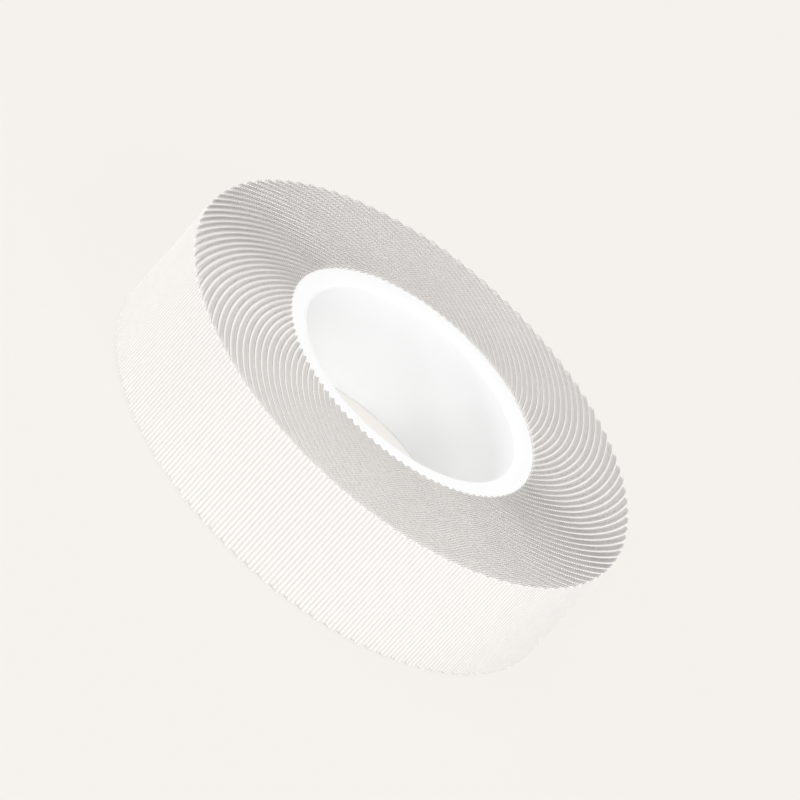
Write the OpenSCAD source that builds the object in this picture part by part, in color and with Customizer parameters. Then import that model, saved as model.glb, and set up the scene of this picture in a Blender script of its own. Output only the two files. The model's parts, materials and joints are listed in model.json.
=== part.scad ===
// Roll of cloth surgical tape with pinked edges, wound on a moulded core.
// The roll lies on one side: its axis is +Z, and z = 0 is the face that it rests on.
// Seen from above, the tape winds outwards anticlockwise, and its cut end is at the back.

/* [Roll] */
// Diameter over the last turn of tape
roll_d = 49; // [44:0.5:70]
// Width of the tape over the tips of its pinked edges
tape_w = 12.35; // [9:0.05:26]

/* [Tape] */
// Thickness of the woven backing
backing_t = 0.1; // [0.06:0.01:0.2]
// Thickness of the adhesive coat under the backing
adhesive_t = 0.042; // [0.03:0.001:0.08]

/* [Pinked edges] */
// Teeth in one turn
teeth = 103; // [60:1:120]
// Height of a tooth from its root to its tip
tooth_h = 0.36; // [0.15:0.01:0.7]
// Angle that a row of teeth sweeps for each millimetre of radius
row_sweep = 4.44; // [1:0.01:6]

/* [Core] */
// Diameter of the bore
bore_d = 23.4; // [18:0.1:27]
// Wall of the core
core_wall = 1.95; // [1.4:0.05:3]
// Depth of the core's upper end below the upper tips of the tape
core_sink = 0.25; // [0.1:0.05:1]
// Height of the core's lower end above the face that the roll rests on
core_lift = 0.5; // [0.1:0.05:1.5]
// Rounding of the rims where they turn into the bore
bore_round = 0.4; // [0.1:0.05:0.7]
// Rounding of the rims where they meet the first turn
outer_round = 0.1; // [0.1:0.05:0.5]

/* [Free end] */
// Teeth along the free end, from its fold line to its cut edge
end_teeth = 12; // [6:1:18]
// Teeth of the turn below that stay bare past the cut edge
bare_teeth = 3; // [2:1:8]
// Direction of the cut edge from the axis, in degrees from +X
end_direction = 111; // [0:1:359]
// Gap between the adhesive of the free end and the turn below it
end_gap = 0.02; // [0.01:0.01:0.1]

/* [Hidden] */
$fn = 96;

cloth_white = [0.96, 0.95, 0.93];
edge_grey = [0.84, 0.83, 0.81];
adhesive_cream = [0.93, 0.91, 0.84];
core_white = [0.98, 0.98, 0.98];

tape_t = backing_t + adhesive_t;
roll_r = roll_d / 2;
core_r = bore_d / 2 + core_wall;
core_top = tape_w - core_sink;

// Stations stand at every tip and every root around the roll, tips at the even ones.
stations = 2 * teeth;
step_angle = 360 / stations;
last = stations - 2 * bare_teeth;
fold = last - 2 * end_teeth;
start_direction = end_direction + 2 * bare_teeth * step_angle;

// The first turn is a polygon that stands just clear of the round adhesive coat on the core.
wind_clear = 0.005;
first_r = (core_r + adhesive_t) / cos(step_angle / 2) + wind_clear;

// Rings of points carry the rows of teeth across the upper face, fewer the flat lower face.
rings = 8;
low_rings = 2;

// Outer surface of the last turn, which climbs by one thickness in a turn.
function turn_r(i) = roll_r - tape_t * (1 - i / stations);
// Outer surface of the turn below it.
function below_r(i) = turn_r(i) - tape_t;
// Upper and lower edge of the tape at a station.
function upper_z(i) = tape_w - (i % 2) * tooth_h;
function lower_z(i) = (i % 2) * tooth_h;
function direction(i) = start_direction + i * step_angle;
function polar(r, a, z) = [r * cos(a), r * sin(a), z];

// A point of the wound turns, a share of the way from the core to the last turn.
function wound_r(share, i) = first_r + (below_r(i) - first_r) * share;
function wound_direction(share, i) = direction(i) - row_sweep * (below_r(0) - wound_r(share, 0));
function wound_point(share, i, z) = polar(wound_r(share, i), wound_direction(share, i), z);

// Rings are closed, apart from the outermost, where the last turn steps off the turn below.
function ring_index(base, count, ring, i) =
    base + ring * stations + (ring < count ? i % stations : i);

// Moulded core, turned from one profile with rounded rims.
module core() {
    color(core_white)
    rotate_extrude()
    core_profile();
}

module core_profile() {
    difference() {
        translate([bore_d / 2, core_lift]) square([core_wall, core_top - core_lift]);
        for (end = [0, 1]) {
            rim_corner(bore_d / 2, end, bore_round, 0);
            rim_corner(core_r, end, outer_round, 1);
        }
    }
}

// What rounding takes off one corner of the core's profile.
module rim_corner(r, end, round_r, side) {
    translate([r, end == 0 ? core_lift : core_top])
    mirror([side, 0])
    mirror([0, end])
    difference() {
        translate([-round_r, -round_r]) square(2 * round_r);
        translate([round_r, round_r]) circle(round_r);
    }
}

// Adhesive coat of the first turn, which holds the tape on the core.
module core_adhesive() {
    color(adhesive_cream)
    translate([0, 0, core_lift + outer_round])
    linear_extrude(core_top - core_lift - 2 * outer_round)
    difference() {
        circle(core_r + adhesive_t);
        circle(core_r);
    }
}

// All turns below the last one, with their teeth in swept rows on the upper face.
module wound_turns() {
    upper = [for (ring = [0:rings]) for (i = [0:ring < rings ? stations - 1 : stations])
             wound_point(ring / rings, i, upper_z(i))];
    lower = [for (ring = [0:low_rings]) for (i = [0:ring < low_rings ? stations - 1 : stations])
             wound_point(ring / low_rings, i, 0)];
    base = len(upper);
    upper_faces = [for (ring = [0:rings - 1]) for (i = [0:stations - 1])
        let (a = ring_index(0, rings, ring, i), b = ring_index(0, rings, ring + 1, i),
             c = ring_index(0, rings, ring + 1, i + 1), d = ring_index(0, rings, ring, i + 1))
        each [[a, d, c], [a, c, b]]];
    lower_faces = [for (ring = [0:low_rings - 1]) for (i = [0:stations - 1])
        let (a = ring_index(base, low_rings, ring, i), b = ring_index(base, low_rings, ring + 1, i),
             c = ring_index(base, low_rings, ring + 1, i + 1), d = ring_index(base, low_rings, ring, i + 1))
        each [[a, b, c], [a, c, d]]];
    inner_wall = [for (i = [0:stations - 1])
        let (a = ring_index(0, rings, 0, i), b = ring_index(0, rings, 0, i + 1),
             c = ring_index(base, low_rings, 0, i), d = ring_index(base, low_rings, 0, i + 1))
        each [[b, a, c], [b, c, d]]];
    outer_wall = [for (i = [0:stations - 1])
        let (a = ring_index(0, rings, rings, i), c = ring_index(base, low_rings, low_rings, i))
        each [[a, a + 1, c + 1], [a, c + 1, c]]];
    // The step at the start of the last turn, and the slivers of face that run out to it.
    s0 = ring_index(0, rings, rings, 0);
    s1 = ring_index(0, rings, rings, stations);
    t0 = ring_index(base, low_rings, low_rings, 0);
    t1 = ring_index(base, low_rings, low_rings, stations);
    step_faces = [[s1, s0, t0], [s1, t0, t1],
                  [ring_index(0, rings, rings - 1, 0), s0, s1],
                  [ring_index(base, low_rings, low_rings - 1, 0), t1, t0]];
    color(edge_grey)
    polyhedron(concat(upper, lower),
               concat(upper_faces, lower_faces, inner_wall, outer_wall, step_faces));
}

// A strip of one layer of the tape between two stations, pinked along both edges.
// The layer lies from inner to outer above the turn below.
module pinked_strip(first, final, inner, outer) {
    points = [for (i = [first:final])
        each [polar(below_r(i) + inner, direction(i), upper_z(i)),
              polar(below_r(i) + outer, direction(i), upper_z(i)),
              polar(below_r(i) + outer, direction(i), lower_z(i)),
              polar(below_r(i) + inner, direction(i), lower_z(i))]];
    sides = [for (i = [0:final - first - 1]) for (k = [0:3])
        let (a = 4 * i + k, b = 4 * i + (k + 1) % 4)
        each [[a, a + 4, b + 4], [a, b + 4, b]]];
    e = 4 * (final - first);
    ends = [[0, 1, 2], [0, 2, 3], [e + 1, e, e + 3], [e + 1, e + 3, e + 2]];
    polyhedron(points, concat(sides, ends));
}

// The last turn, from where it steps off the turn below to the fold line.
module outer_turn_adhesive() {
    color(adhesive_cream) pinked_strip(0, fold, 0, adhesive_t);
}

module outer_turn_backing() {
    color(cloth_white) pinked_strip(0, fold, adhesive_t, tape_t);
}

// The free end, from the fold line to the cut edge. It lifts about the outer edge of the fold line.
module free_end_adhesive() {
    color(adhesive_cream) pinked_strip(fold, last, end_gap, end_gap + adhesive_t);
}

module free_end_backing() {
    color(cloth_white) pinked_strip(fold, last, end_gap + adhesive_t, end_gap + tape_t);
}

// Facts of the winding: turns, length, the fold line, and the least gap of the last turn to itself.
fold_point = polar(turn_r(fold) + end_gap, direction(fold), tape_w / 2);
turn_gap = min([for (i = [last - 2:last]) for (k = [0:2])
                norm(polar(turn_r(i), direction(i), 0) - polar(turn_r(k), direction(k), 0)) - tape_t]);
echo(turns = (roll_r - core_r) / tape_t);
echo(tape_length = PI * (pow(roll_r, 2) - pow(core_r, 2)) / tape_t);
echo(fold_point = fold_point);
echo(least_gap_of_last_turn = turn_gap);

core();
core_adhesive();
wound_turns();
outer_turn_adhesive();
outer_turn_backing();
free_end_adhesive();
free_end_backing();
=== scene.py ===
# %% [markdown]
# A roll of white cloth surgical tape
#
# The real thing is two pieces: a moulded plastic ring, the core, and one long strip of woven
# cloth with adhesive on its back, wound on the core some 76 times. The strip's two edges are
# pinked, which means cut in a zigzag, and on the flat faces of the roll the teeth of all the
# turns line up in swept rows. This lesson cuts the strip flat, pinks it, gives it its
# thickness and then winds it up, as the machine does.

# %% Load the frame
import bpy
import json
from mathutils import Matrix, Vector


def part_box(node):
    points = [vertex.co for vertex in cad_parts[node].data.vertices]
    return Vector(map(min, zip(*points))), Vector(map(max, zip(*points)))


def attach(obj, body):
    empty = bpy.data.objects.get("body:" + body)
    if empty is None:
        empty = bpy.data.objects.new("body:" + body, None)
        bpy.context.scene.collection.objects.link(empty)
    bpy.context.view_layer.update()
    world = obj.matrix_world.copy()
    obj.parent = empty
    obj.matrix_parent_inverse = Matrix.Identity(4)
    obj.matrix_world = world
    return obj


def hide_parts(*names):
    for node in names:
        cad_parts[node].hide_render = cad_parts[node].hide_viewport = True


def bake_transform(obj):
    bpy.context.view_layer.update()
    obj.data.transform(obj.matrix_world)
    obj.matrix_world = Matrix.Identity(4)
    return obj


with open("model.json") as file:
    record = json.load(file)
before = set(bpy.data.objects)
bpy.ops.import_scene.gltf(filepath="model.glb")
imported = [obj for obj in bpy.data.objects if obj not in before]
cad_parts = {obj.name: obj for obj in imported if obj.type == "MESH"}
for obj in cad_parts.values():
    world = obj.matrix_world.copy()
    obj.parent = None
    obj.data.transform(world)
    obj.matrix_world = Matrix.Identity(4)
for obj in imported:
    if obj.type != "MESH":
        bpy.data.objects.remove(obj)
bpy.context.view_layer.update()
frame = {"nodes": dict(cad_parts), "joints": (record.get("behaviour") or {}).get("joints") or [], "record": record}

# %% Tools for the lesson
import json
import math

import bmesh
import bpy
from mathutils import Matrix, Vector

MM = 0.001
record = frame["record"]
studio = bpy.context.scene
studio.view_settings.view_transform = "Standard"
print("Pieces in the frame:", ", ".join(sorted(frame["nodes"])))

# %% [markdown]
# The camera
#
# The picture looks at the roll from low in front, with the camera itself turned on its side by
# some 42 degrees, so that the lying roll seems to tip over to the right. A long lens from far
# away keeps the near and the far rim almost the same size. A camera can be aimed with a
# constraint, but here its three axes are written out, because then the turn about the line of
# sight is one plain number.

# %% The camera
camera_elevation = math.radians(27.6)
camera_turn = math.radians(42.45)
camera_distance = 735 * MM
camera_aim = Vector((0.25, -0.953, 10.378)) * MM
camera_lens = 366.35


def aim_camera():
    back = Vector((0, -math.cos(camera_elevation), math.sin(camera_elevation)))
    level_right = Vector((1, 0, 0))
    level_up = back.cross(level_right)
    right = math.cos(camera_turn) * level_right + math.sin(camera_turn) * level_up
    up = back.cross(right)
    lens = bpy.data.cameras.new("camera")
    lens.lens = camera_lens
    camera = bpy.data.objects.new("camera", lens)
    studio.collection.objects.link(camera)
    turned = Matrix((right, up, back)).transposed().to_4x4()
    camera.matrix_world = Matrix.Translation(camera_aim + back * camera_distance) @ turned
    studio.camera = camera
    return camera


camera = aim_camera()
print("Camera at", [round(c, 4) for c in camera.matrix_world.translation])

# %% [markdown]
# Sizes of the roll
#
# Everything that the frame knows is measured from it: the core from its own box, the width of
# the tape from the last turn, and the place where the free end lifts from the joint between
# roll and free end. What the frame can't say is how the tape is made: its two layers and its
# teeth. The angle of a tooth is a touch more than a whole turn divided by the count of teeth,
# and that small surplus is what makes the rows of teeth sweep round as they run outwards.

# %% Sizes of the roll
core_low, core_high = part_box("core")
cloth_low, cloth_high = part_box("outer_turn_backing")
peel = frame["joints"][0]
fold_line = Vector(peel["pos_m"])

bore_r = record["mounts"][0]["dims"]["r_mm"] * MM
core_r = core_high.x
tape_w = cloth_high.z - cloth_low.z

cloth_t = 0.1 * MM
adhesive_t = 0.042 * MM
tape_t = cloth_t + adhesive_t
tooth_h = 0.36 * MM
teeth_per_turn = 103
row_sweep = math.radians(4.44) / MM
end_gap = 0.02 * MM

fold_r = math.hypot(fold_line.x, fold_line.y) - end_gap
fold_direction = math.atan2(fold_line.y, fold_line.x)
tooth_angle = (2 * math.pi + row_sweep * tape_t) / teeth_per_turn
tooth_pitch = fold_r * tooth_angle
print("Tape", round(tape_w / MM, 2), "mm wide; a tooth is", round(tooth_pitch / MM, 3), "mm long")

# %% [markdown]
# The strip, before it is wound
#
# A strip can be modelled where it lies, but cutting it flat is simpler. A grid becomes a strip
# in which x counts teeth from the fold line, y runs across the tape and z through it. Pinking
# pulls the edge rows in by a triangle wave, so that a tip stands at each whole number. An edge
# can also be cut straight, almost as deep as the roots. Then solidify gives the strip its
# thickness, and the faces that close its sides are the cut edge.

# %% Cut, pink and thicken a flat strip
OUTER_SIDE = 0
COATED_SIDE = 1
CUT_SIDE = 2
straight_depth = 0.32 * MM
flat_enough = 0.5


def pinked(teeth):
    return tooth_h * (1 - abs(2 * (teeth % 1) - 1))


def straight(teeth):
    return straight_depth


def flat_strip(first_tooth, last_tooth, samples, rows, thickness, edge=pinked):
    bm = bmesh.new()
    length = last_tooth - first_tooth
    bmesh.ops.create_grid(bm, x_segments=round(length * samples), y_segments=rows, size=0.5)
    bmesh.ops.scale(bm, vec=(length, tape_w, 1), verts=bm.verts)
    middle = (first_tooth + last_tooth) / 2
    bmesh.ops.translate(bm, vec=(middle, tape_w / 2, 0), verts=bm.verts)
    for v in bm.verts:
        v.co.x = round(v.co.x * samples) / samples
        if v.co.y < tooth_h:
            v.co.y = edge(v.co.x)
        elif v.co.y > tape_w - tooth_h:
            v.co.y = tape_w - edge(v.co.x)
    bmesh.ops.solidify(bm, geom=bm.faces[:], thickness=thickness)
    for face in bm.faces:
        if face.normal.z > flat_enough:
            face.material_index = OUTER_SIDE
        elif face.normal.z < -flat_enough:
            face.material_index = COATED_SIDE
        else:
            face.material_index = CUT_SIDE
    return bm


print("Teeth are", round(tooth_h / MM, 2), "mm high, and straight edges lie",
      round(straight_depth / MM, 2), "mm below the tips")

# %% [markdown]
# Winding
#
# A curve modifier could bend a strip, but a spiral is easy to write down: the tape climbs by
# its own thickness in each turn, so its radius grows evenly with the angle. Where the first
# turn would sink into the core, it is laid on the core instead. The strip's flat measures are
# kept in a UV map before it is wound, so that the finishes can follow the tape later.

# %% Wind a strip
crease_angle = math.radians(35)


def spiral_r(angle):
    return fold_r + tape_t * (angle - fold_direction) / (2 * math.pi)


def keep_flat_measures(bm):
    strip_map = bm.loops.layers.uv.new("strip")
    for face in bm.faces:
        for loop in face.loops:
            flat = loop.vert.co
            loop[strip_map].uv = (flat.x * tooth_pitch, flat.y)


def wind(bm, lift=0.0, ribs=None):
    for v in bm.verts:
        teeth, across, through = v.co
        angle = fold_direction + teeth * tooth_angle
        r = spiral_r(angle) + through + lift
        if ribs:
            r -= ribs(teeth)
        if r < core_r + adhesive_t:
            r = core_r
        v.co = (r * math.cos(angle), r * math.sin(angle), across)


def make_piece(name, bm):
    mesh = bpy.data.meshes.new(name)
    bm.to_mesh(mesh)
    bm.free()
    mesh.shade_smooth()
    mesh.set_sharp_from_angle(angle=crease_angle)
    piece = bpy.data.objects.new(name, mesh)
    studio.collection.objects.link(piece)
    mesh.calc_loop_triangles()
    print(name, "has", len(mesh.loop_triangles), "triangles")
    return piece


print("The tape climbs", round(tape_t / MM, 3), "mm in a turn")

# %% [markdown]
# The core
#
# The core is a plain moulded ring with rounded rims. Its profile is four corners, and spin
# turns them round the axis, which is how such a ring's mould is cut on a lathe. The rims are
# then bevelled, wider towards the bore, because that soft white lip is what one sees of it.

# %% The core
core_steps = 192
bore_round = 0.4 * MM
outer_round = 0.03 * MM
rim_segments = 6
same_place = 0.01 * MM
weld_distance = 0.001 * MM


def rim_edges(bm, r):
    def on_rim(v):
        return abs(math.hypot(v.co.x, v.co.y) - r) < same_place
    rims = []
    for edge in bm.edges:
        a, b = edge.verts
        if on_rim(a) and on_rim(b) and abs(a.co.z - b.co.z) < same_place:
            rims.append(edge)
    return rims


def make_core():
    bm = bmesh.new()
    outline = [(bore_r, core_low.z), (core_r, core_low.z), (core_r, core_high.z), (bore_r, core_high.z)]
    corners = [bm.verts.new((r, 0, z)) for r, z in outline]
    sides = [bm.edges.new((corners[i - 1], corners[i])) for i in range(len(corners))]
    bmesh.ops.spin(bm, geom=corners + sides, cent=(0, 0, 0), axis=(0, 0, 1),
                   angle=2 * math.pi, steps=core_steps, use_merge=True)
    bmesh.ops.remove_doubles(bm, verts=bm.verts, dist=weld_distance)
    bmesh.ops.recalc_face_normals(bm, faces=bm.faces)
    for r, rounding in ((bore_r, bore_round), (core_r, outer_round)):
        bmesh.ops.bevel(bm, geom=rim_edges(bm, r), offset=rounding, offset_type="OFFSET",
                        affect="EDGES", segments=rim_segments, profile=0.5, material=-1)
    return make_piece("core_ring", bm)


core_ring = make_core()
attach(core_ring, "roll")
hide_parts("core")

# %% [markdown]
# The wound turns
#
# Most of the tape shows only its edges, so here two samples a tooth are enough: a tip and a
# root. One solid block would be simpler, but the turns would run together, so cloth and
# adhesive are two strips of their own. The cloth is pinked and its adhesive ends straight,
# just above the roots. So the tips stand apart with fine dark gaps between them, and the roots
# look filled. The cloth is made thinner here than on the last turn, which widens the gaps to
# what the picture shows. The adhesive starts half a turn later than the cloth, where the first
# turn has risen off the core and leaves room for it.

# %% The wound turns
under_teeth = 1
ribbed_start = -(teeth_per_turn + under_teeth)
wound_samples = 2
wound_rows = 1
wound_cloth_t = 0.075 * MM
seated_teeth = 56
wound_turns = (fold_r - core_r - adhesive_t) / tape_t
wound_start = -math.floor(wound_turns * 2 * math.pi / tooth_angle)


def make_wound(name, first_tooth, thickness, lift=0.0, edge=pinked):
    bm = flat_strip(first_tooth, ribbed_start, wound_samples, wound_rows, thickness, edge)
    keep_flat_measures(bm)
    wind(bm, lift)
    return make_piece(name, bm)


wound_cloth = make_wound("wound_cloth", wound_start, wound_cloth_t)
wound_adhesive = make_wound("wound_adhesive", wound_start + seated_teeth, tape_t - wound_cloth_t,
                            -wound_cloth_t, straight)
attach(wound_cloth, "roll")
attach(wound_adhesive, "roll")
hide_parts("wound_turns")
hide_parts("core_adhesive")

# %% [markdown]
# The last turn
#
# The outer surface shows the weave: thick threads run across the tape as fine ribs, and thin
# ones bind them. The ribs could be a bump in the material, but they break the outline where
# the surface curves away, so they are real here: the radius dips by a fraction of the cloth's
# thickness between one thread and the next. The strip starts one tooth before the fold line on
# the turn below, so that the cloth under the free end is ribbed too.

# %% The last turn
ribs_per_turn = 372
rib_depth = 0.05 * MM
rib_samples = 24
cloth_rows = 4
coat_rows = 1


def rib_dip(teeth):
    thread = teeth * tooth_angle / (2 * math.pi) * ribs_per_turn
    return rib_depth * (1 - abs(math.sin(math.pi * thread)))


outer_bm = flat_strip(ribbed_start, 0, rib_samples, cloth_rows, cloth_t)
keep_flat_measures(outer_bm)
wind(outer_bm, ribs=rib_dip)
outer_turn_cloth = make_piece("outer_turn_cloth", outer_bm)

under_bm = flat_strip(ribbed_start, 0, wound_samples, coat_rows, adhesive_t, straight)
keep_flat_measures(under_bm)
wind(under_bm, lift=-cloth_t)
outer_turn_coat = make_piece("outer_turn_coat", under_bm)

for piece, node, slot in ((outer_turn_cloth, "outer_turn_backing", "tape_cloth"),
                          (outer_turn_coat, "outer_turn_adhesive", "tape_adhesive")):
    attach(piece, "roll")
    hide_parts(node)

# %% [markdown]
# The free end
#
# The last 18 millimetres lie on the roll, and the real tape can be lifted there. It then bends
# in a short stretch past the fold line, while the rest of the flap stays stiff and curved as it
# was wound. Here the free end is built where it lies, as cloth and coat, and its transform is
# baked; nothing in this script bends or lifts it.

# %% The free end
free_teeth = 12


def bend_with_fold(piece):
    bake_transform(piece)


flap_bm = flat_strip(0, free_teeth, rib_samples, cloth_rows, cloth_t)
keep_flat_measures(flap_bm)
wind(flap_bm, lift=end_gap, ribs=rib_dip)
free_end_cloth = make_piece("free_end_cloth", flap_bm)

coat_bm = flat_strip(0, free_teeth, rib_samples, coat_rows, adhesive_t, straight)
keep_flat_measures(coat_bm)
wind(coat_bm, lift=end_gap - cloth_t)
free_end_coat = make_piece("free_end_coat", coat_bm)

for piece, node, slot in ((free_end_cloth, "free_end_backing", "tape_cloth"),
                          (free_end_coat, "free_end_adhesive", "tape_adhesive")):
    bend_with_fold(piece)
    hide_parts(node)

# %% [markdown]
# Finishes
#
# Each finish is one Principled shader with a little detail in colour and bump. Nodes can be
# wired by hand in the shader editor, but small helpers that add one node each make the
# recipes below as short as a list. Values that are the same all over sit on the shader's own
# sockets.

# %% Helpers for finishes
MIX_FACTOR = 0
MIX_LOW = 6
MIX_HIGH = 7
MIX_COLOUR = 2


def start_finish(name, roughness):
    finish = bpy.data.materials.new(name)
    finish.use_nodes = True
    tree = finish.node_tree
    shader = tree.nodes["Principled BSDF"]
    shader.inputs["Roughness"].default_value = roughness
    print("Finish:", name)
    return finish, tree, shader


def mixed(tree, factor, low, high):
    mix = tree.nodes.new("ShaderNodeMix")
    mix.data_type = "RGBA"
    tree.links.new(factor, mix.inputs[MIX_FACTOR])
    for socket, colour in ((mix.inputs[MIX_LOW], low), (mix.inputs[MIX_HIGH], high)):
        if isinstance(colour, tuple):
            socket.default_value = (*colour, 1)
        else:
            tree.links.new(colour, socket)
    return mix.outputs[MIX_COLOUR]


def paint(tree, shader, factor, low, high):
    tree.links.new(mixed(tree, factor, low, high), shader.inputs["Base Color"])


def noise(tree, vector, scale):
    grain = tree.nodes.new("ShaderNodeTexNoise")
    grain.inputs["Scale"].default_value = scale
    tree.links.new(vector, grain.inputs["Vector"])
    return grain.outputs["Fac"]


def bump(tree, shader, height, strength, distance):
    relief = tree.nodes.new("ShaderNodeBump")
    relief.inputs["Strength"].default_value = strength
    relief.inputs["Distance"].default_value = distance
    tree.links.new(height, relief.inputs["Height"])
    tree.links.new(relief.outputs["Normal"], shader.inputs["Normal"])


def on_object(tree):
    return tree.nodes.new("ShaderNodeTexCoord").outputs["Object"]


# %% [markdown]
# Core plastic
#
# The core is smooth white plastic, cooler in tone than the cloth around it. A plain colour
# would do, but moulded plastic is never quite even, so its white varies by a hair and its
# surface has the faintest ripple.

# %% Core plastic
core_cooler = (0.95, 0.955, 0.955)
core_paler = (0.965, 0.97, 0.97)
core_cloudiness = 300
core_ripple = 2500


def core_plastic():
    finish, tree, shader = start_finish("core_plastic", roughness=0.4)
    place = on_object(tree)
    paint(tree, shader, noise(tree, place, core_cloudiness), core_cooler, core_paler)
    bump(tree, shader, noise(tree, place, core_ripple), strength=0.1, distance=0.01 * MM)
    return finish


core_ring.data.materials.append(core_plastic())

# %% [markdown]
# Measures along the tape
#
# A finish of the tape has to know where on the strip it is. Object coordinates would draw
# the weave straight through the roll, so the flat measures from the UV map are read instead:
# how far along the strip, and how far in from the nearer of its two edges.

# %% Measures along the tape
def math_node(tree, operation, value, other=None):
    node = tree.nodes.new("ShaderNodeMath")
    node.operation = operation
    tree.links.new(value, node.inputs[0])
    if isinstance(other, bpy.types.NodeSocket):
        tree.links.new(other, node.inputs[1])
    elif other is not None:
        node.inputs[1].default_value = other
    return node.outputs["Value"]


def on_strip(tree):
    place = tree.nodes.new("ShaderNodeUVMap")
    place.uv_map = "strip"
    return place.outputs["UV"]


def strip_measure(tree, axis):
    split = tree.nodes.new("ShaderNodeSeparateXYZ")
    tree.links.new(on_strip(tree), split.inputs["Vector"])
    return split.outputs[axis]


def along_strip(tree):
    return strip_measure(tree, "X")


def from_edge(tree):
    return math_node(tree, "PINGPONG", strip_measure(tree, "Y"), tape_w / 2)


print("From an edge to the middle of the strip:", round(tape_w / 2 / MM, 3), "mm")

# %% [markdown]
# White cloth
#
# The outer side of the tape is a fine ribbed weave in warm white. Its ribs are real shapes
# already, but they are shallow and the light is soft, so painted shade also darkens their
# valleys a little. The stripes count along the strip as the ribs do, so each one lies in its
# own valley all the way round the roll.

# %% White cloth
valley_shade_grey = (0.69, 0.667, 0.648)
crest_white = (0.892, 0.865, 0.846)
cloth_roughness = 0.85
thread_fuzz = 9000


def white_cloth():
    finish, tree, shader = start_finish("white_cloth", cloth_roughness)
    half_waves = ribs_per_turn / (2 * fold_r)
    thread = math_node(tree, "MULTIPLY", along_strip(tree), half_waves)
    crest = math_node(tree, "ABSOLUTE", math_node(tree, "SINE", thread))
    # Painted shade: the rib valleys get the greyer colour, and the crests the cloth's white.
    paint(tree, shader, crest, valley_shade_grey, crest_white)
    bump(tree, shader, noise(tree, on_strip(tree), thread_fuzz), strength=0.15, distance=0.02 * MM)
    return finish


cloth_finish = white_cloth()

# %% [markdown]
# Tips and roots
#
# On the face of the roll the slopes of the teeth look grey, and their roots show as white
# lines. That white is a painted highlight, brighter than the cloth's own white. The white
# could be painted by the distance from the edge, but then it would be the same on both slopes
# of a tooth. So it goes by the place along the tooth, with the tip at nothing and the root at
# half a tooth, and it leans to one side by a small share of a tooth.

# %% Tips and roots
half_tooth = 0.5
root_lean = 0.02
root_start = 0.205 * MM
root_full = 0.26 * MM


def rising(tree, value, start, end):
    ramp = tree.nodes.new("ShaderNodeMapRange")
    ramp.interpolation_type = "SMOOTHSTEP"
    ramp.inputs["From Min"].default_value = start
    ramp.inputs["From Max"].default_value = end
    tree.links.new(value, ramp.inputs["Value"])
    return ramp.outputs["Result"]


def from_tip(tree):
    teeth = math_node(tree, "DIVIDE", along_strip(tree), tooth_pitch)
    leaning = math_node(tree, "ADD", teeth, root_lean)
    return math_node(tree, "PINGPONG", leaning, half_tooth)


# The mask for the painted highlight at the roots.
def at_roots(tree):
    depth = math_node(tree, "MULTIPLY", from_tip(tree), tooth_h / half_tooth)
    return rising(tree, depth, root_start, root_full)


print("The roots turn white", round(root_start / MM, 3), "to", round(root_full / MM, 3),
      "mm below the tips")

# %% [markdown]
# The cut edge
#
# The pinking blade leaves a raw edge of cut threads, and on the face of the roll the edges of
# all the turns lie side by side. The threads could be modelled one by one, but at this size a
# grain does the same: it is stretched along the tape, so that it reads as single threads.
# Painted shade makes the edge darkest at the tips, which stand between the dark gaps, and the
# roots are painted white, a painted highlight brighter than the cloth itself.

# %% Cut edge
edge_roughness = 0.9
flank_start = 0.03 * MM
fibre_grain = 5000
fibre_stretch = 0.1
tip_shade_greys = ((0.25, 0.243, 0.235), (0.7, 0.68, 0.66))
flank_greys = ((0.35, 0.34, 0.328), (0.82, 0.797, 0.774))
root_highlight_white = (0.97, 0.955, 0.94)


def stretched(tree, flat, share):
    scale = tree.nodes.new("ShaderNodeVectorMath")
    scale.operation = "MULTIPLY"
    scale.inputs[1].default_value = (share, 1, 1)
    tree.links.new(flat, scale.inputs[0])
    return scale.outputs["Vector"]


def cut_edge():
    finish, tree, shader = start_finish("cut_edge", edge_roughness)
    grain = noise(tree, stretched(tree, on_strip(tree), fibre_stretch), fibre_grain)
    # Painted shade: the greys are darkest at the tips; at the roots they give way to a painted white highlight.
    tip = mixed(tree, grain, *tip_shade_greys)
    flank = mixed(tree, grain, *flank_greys)
    grey = mixed(tree, rising(tree, from_edge(tree), flank_start, root_start), tip, flank)
    paint(tree, shader, at_roots(tree), grey, root_highlight_white)
    return finish


edge_finish = cut_edge()

# %% [markdown]
# The edge of the last turn
#
# The last turn is the one whose cut edge is seen by itself, all round the rim. Beside the
# white outer surface its tips must not draw a black line, so its greys are closer together.
# Its roots are painted white too, the same painted highlight, so that the white lines of the rows run out to the
# rim.

# %% Edge of the last turn
rim_greys = ((0.4, 0.388, 0.377), (0.74, 0.72, 0.7))
root_white_and_highlight = (0.95, 0.932, 0.914)


def rim_edge():
    finish, tree, shader = start_finish("rim_edge", edge_roughness)
    grey = mixed(tree, noise(tree, on_strip(tree), fibre_grain), *rim_greys)
    # The roots get the painted white highlight.
    paint(tree, shader, at_roots(tree), grey, root_white_and_highlight)
    return finish


rim_finish = rim_edge()

# %% [markdown]
# The sides of the wound cloth
#
# Between one edge and the next a sliver of the cloth's side is in sight. On the near half of
# the face that is the outer side, and on the far half the coated one, which is a little
# darker. Two recipes could do that, but they differ only in a colour and a depth, so one
# makes both. Towards the roots either side turns white, as the imported roots are, and that
# white is a painted highlight, brighter than the cloth.

# %% Sides of the wound cloth
side_root_highlight = (0.98, 0.965, 0.95)
bare_side = (0.88, 0.86, 0.84)
bare_start = 0.27 * MM
bare_full = 0.32 * MM
coated_side = (0.8, 0.783, 0.766)


def wound_side(name, near_tips, start, full):
    finish, tree, shader = start_finish(name, cloth_roughness)
    # Painted highlight: the sides turn white towards the roots.
    paint(tree, shader, rising(tree, from_edge(tree), start, full), near_tips, side_root_highlight)
    return finish


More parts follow.
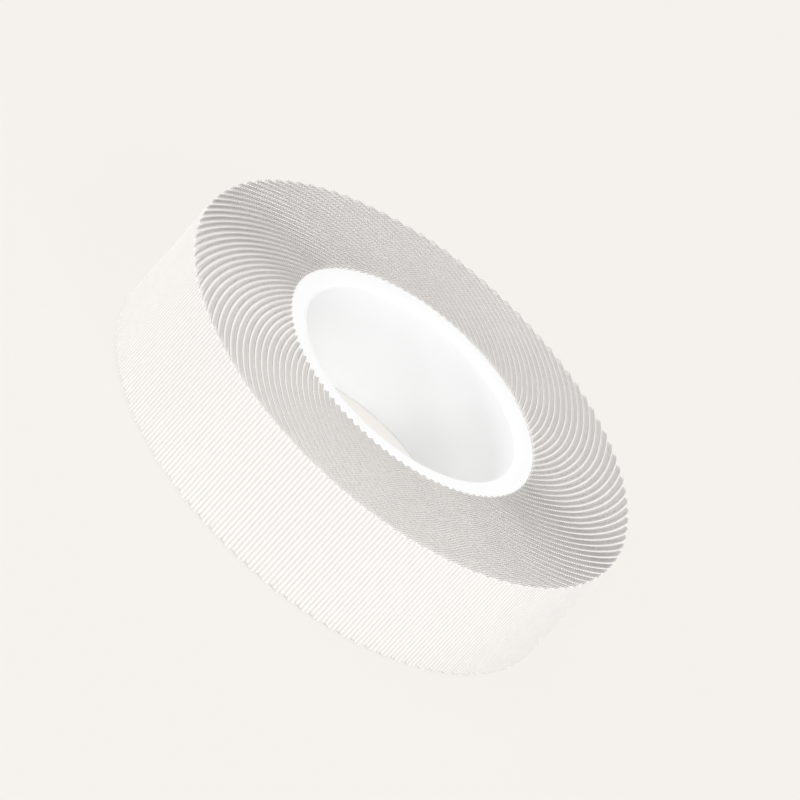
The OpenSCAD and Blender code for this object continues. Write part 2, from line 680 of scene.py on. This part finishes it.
wound_out_finish = wound_side("wound_outside", bare_side, bare_start, bare_full)
wound_in_finish = wound_side("wound_inside", coated_side, root_start, root_full)

# %% [markdown]
# The adhesive coat
#
# The back of the tape carries a thin coat of adhesive, which shows when the free end is
# lifted: smooth, a little shiny and slightly yellow. A faint mottle on Object coordinates is
# enough for it, because nothing in it follows the strip.

# %% Adhesive coat
coat_creamy = (0.94, 0.92, 0.9)
coat_paler = (0.97, 0.95, 0.93)
coat_mottle = 1500


def adhesive_coat():
    finish, tree, shader = start_finish("adhesive_coat", roughness=0.4)
    paint(tree, shader, noise(tree, on_object(tree), coat_mottle), coat_creamy, coat_paler)
    return finish


coat_finish = adhesive_coat()

# %% [markdown]
# The edge of the adhesive
#
# On the face of the roll the coat is a thin line between two layers of cloth. Between the tips
# it lies deep in the gap, and there it is painted grey as painted shade. At the roots it stands
# about level with the cloth and belongs to the imported white. Its edge is straight, so its
# depth tells nothing, and it is painted by the place on the tooth instead, with the same lean
# as the cut edge. So both whites make one line.

# %% Edge of the adhesive
shade_fade_start = 0.32
shade_fade_full = 0.41
gap_shade_grey = (0.45, 0.437, 0.424)


def coat_edge():
    finish, tree, shader = start_finish("coat_edge", roughness=0.8)
    # Painted shade between the tips, fading out towards the roots, where the coat keeps its white.
    unshaded = rising(tree, from_tip(tree), shade_fade_start, shade_fade_full)
    paint(tree, shader, unshaded, gap_shade_grey, root_white_and_highlight)
    return finish


coat_edge_finish = coat_edge()

# %% [markdown]
# Dressing the tape
#
# Each piece of tape has three kinds of faces, numbered when the strip was cut: outer side,
# coated side and cut side. Its materials are added in that order, so no face has to be picked
# by hand.

# %% Dress the tape
for finish in (wound_out_finish, wound_in_finish, edge_finish):
    wound_cloth.data.materials.append(finish)
for piece in (outer_turn_cloth, free_end_cloth):
    for finish in (cloth_finish, coat_finish, rim_finish):
        piece.data.materials.append(finish)
for piece in (wound_adhesive, outer_turn_coat, free_end_coat):
    for finish in (coat_finish, coat_finish, coat_edge_finish):
        piece.data.materials.append(finish)
print("Finishes on the wound cloth:", ", ".join(m.name for m in wound_cloth.data.materials))

# %% [markdown]
# The floor
#
# The picture has a plain warm white ground without an edge. A lit floor would show the light
# falling off, so the floor shows the camera its plain colour and keeps only a faint share of
# the real shading. That is enough for the roll to cast its soft shadow.

# %% The floor
LIT_SHADER = 1
PLAIN_SHADER = 2
ground_colour = (0.913, 0.888, 0.847)
floor_colour = (0.88, 0.87, 0.855)
floor_r = 1.2
floor_corners = 96
floor_drop = 0.05 * MM
plain_share = 0.93


def seen_directly(tree):
    path = tree.nodes.new("ShaderNodeLightPath")
    seen = path.outputs["Is Camera Ray"]
    for kind in ("Is Glossy Ray", "Is Transmission Ray"):
        seen = math_node(tree, "MAXIMUM", seen, path.outputs[kind])
    return seen


def show_plain(tree, share, lit, plain, output):
    mix = tree.nodes.new("ShaderNodeMixShader")
    tree.links.new(share, mix.inputs["Fac"])
    tree.links.new(lit, mix.inputs[LIT_SHADER])
    tree.links.new(plain, mix.inputs[PLAIN_SHADER])
    tree.links.new(mix.outputs["Shader"], tree.nodes[output].inputs["Surface"])


def ground_finish():
    finish, tree, shader = start_finish("ground", roughness=1.0)
    shader.inputs["Base Color"].default_value = (*floor_colour, 1)
    shader.inputs["Specular IOR Level"].default_value = 0
    plain = tree.nodes.new("ShaderNodeEmission")
    plain.inputs["Color"].default_value = (*ground_colour, 1)
    share = math_node(tree, "MULTIPLY", seen_directly(tree), plain_share)
    show_plain(tree, share, shader.outputs["BSDF"], plain.outputs["Emission"], "Material Output")
    return finish


def lay_floor():
    bm = bmesh.new()
    bmesh.ops.create_circle(bm, cap_ends=True, segments=floor_corners, radius=floor_r)
    bmesh.ops.translate(bm, vec=(0, 0, -floor_drop), verts=bm.verts)
    floor = make_piece("floor", bm)
    floor.data.materials.append(ground_finish())


lay_floor()

# %% [markdown]
# Soft light
#
# White on white needs even light, or the pale surfaces burn out. A pale sky all round gives
# most of it, and six soft boxes give the rest: from above, from the front and right, and low
# from both sides to open the shade. Each is set by its direction, its size and the level to
# which it would light a white card that faces it, which is easier to think in than watts. The
# camera doesn't see them.

# %% Soft light
sky_level = 0.59
lamp_distance = 1.0


def surround():
    world = bpy.data.worlds.new("studio")
    studio.world = world
    world.use_nodes = True
    tree = world.node_tree
    sky = tree.nodes["Background"]
    sky.inputs["Color"].default_value = (1, 1, 1, 1)
    sky.inputs["Strength"].default_value = sky_level
    plain = tree.nodes.new("ShaderNodeBackground")
    plain.inputs["Color"].default_value = (*ground_colour, 1)
    show_plain(tree, seen_directly(tree), sky.outputs["Background"], plain.outputs["Background"],
               "World Output")


def softbox(name, azimuth, elevation, size, level):
    around = math.radians(azimuth)
    above = math.radians(elevation)
    towards = Vector((math.cos(around) * math.cos(above), math.sin(around) * math.cos(above),
                      math.sin(above)))
    lamp = bpy.data.lights.new(name, "AREA")
    lamp.size = size
    lamp.energy = level * (math.pi * lamp_distance) ** 2
    box = bpy.data.objects.new(name, lamp)
    studio.collection.objects.link(box)
    box.location = towards * lamp_distance
    box.rotation_euler = towards.to_track_quat("Z", "Y").to_euler()
    box.visible_camera = False
    print(name, "lights a white card to", level)


surround()
softbox("key_above", azimuth=150, elevation=72, size=0.4, level=0.125)
softbox("key_front", azimuth=270, elevation=38, size=0.3, level=0.17)
softbox("key_right", azimuth=315, elevation=38, size=0.3, level=0.26)
softbox("low_left", azimuth=200, elevation=25, size=0.2, level=0.12)
softbox("fill_left", azimuth=181, elevation=5, size=0.15, level=0.2)
softbox("fill_right", azimuth=318, elevation=5, size=0.15, level=0.09)
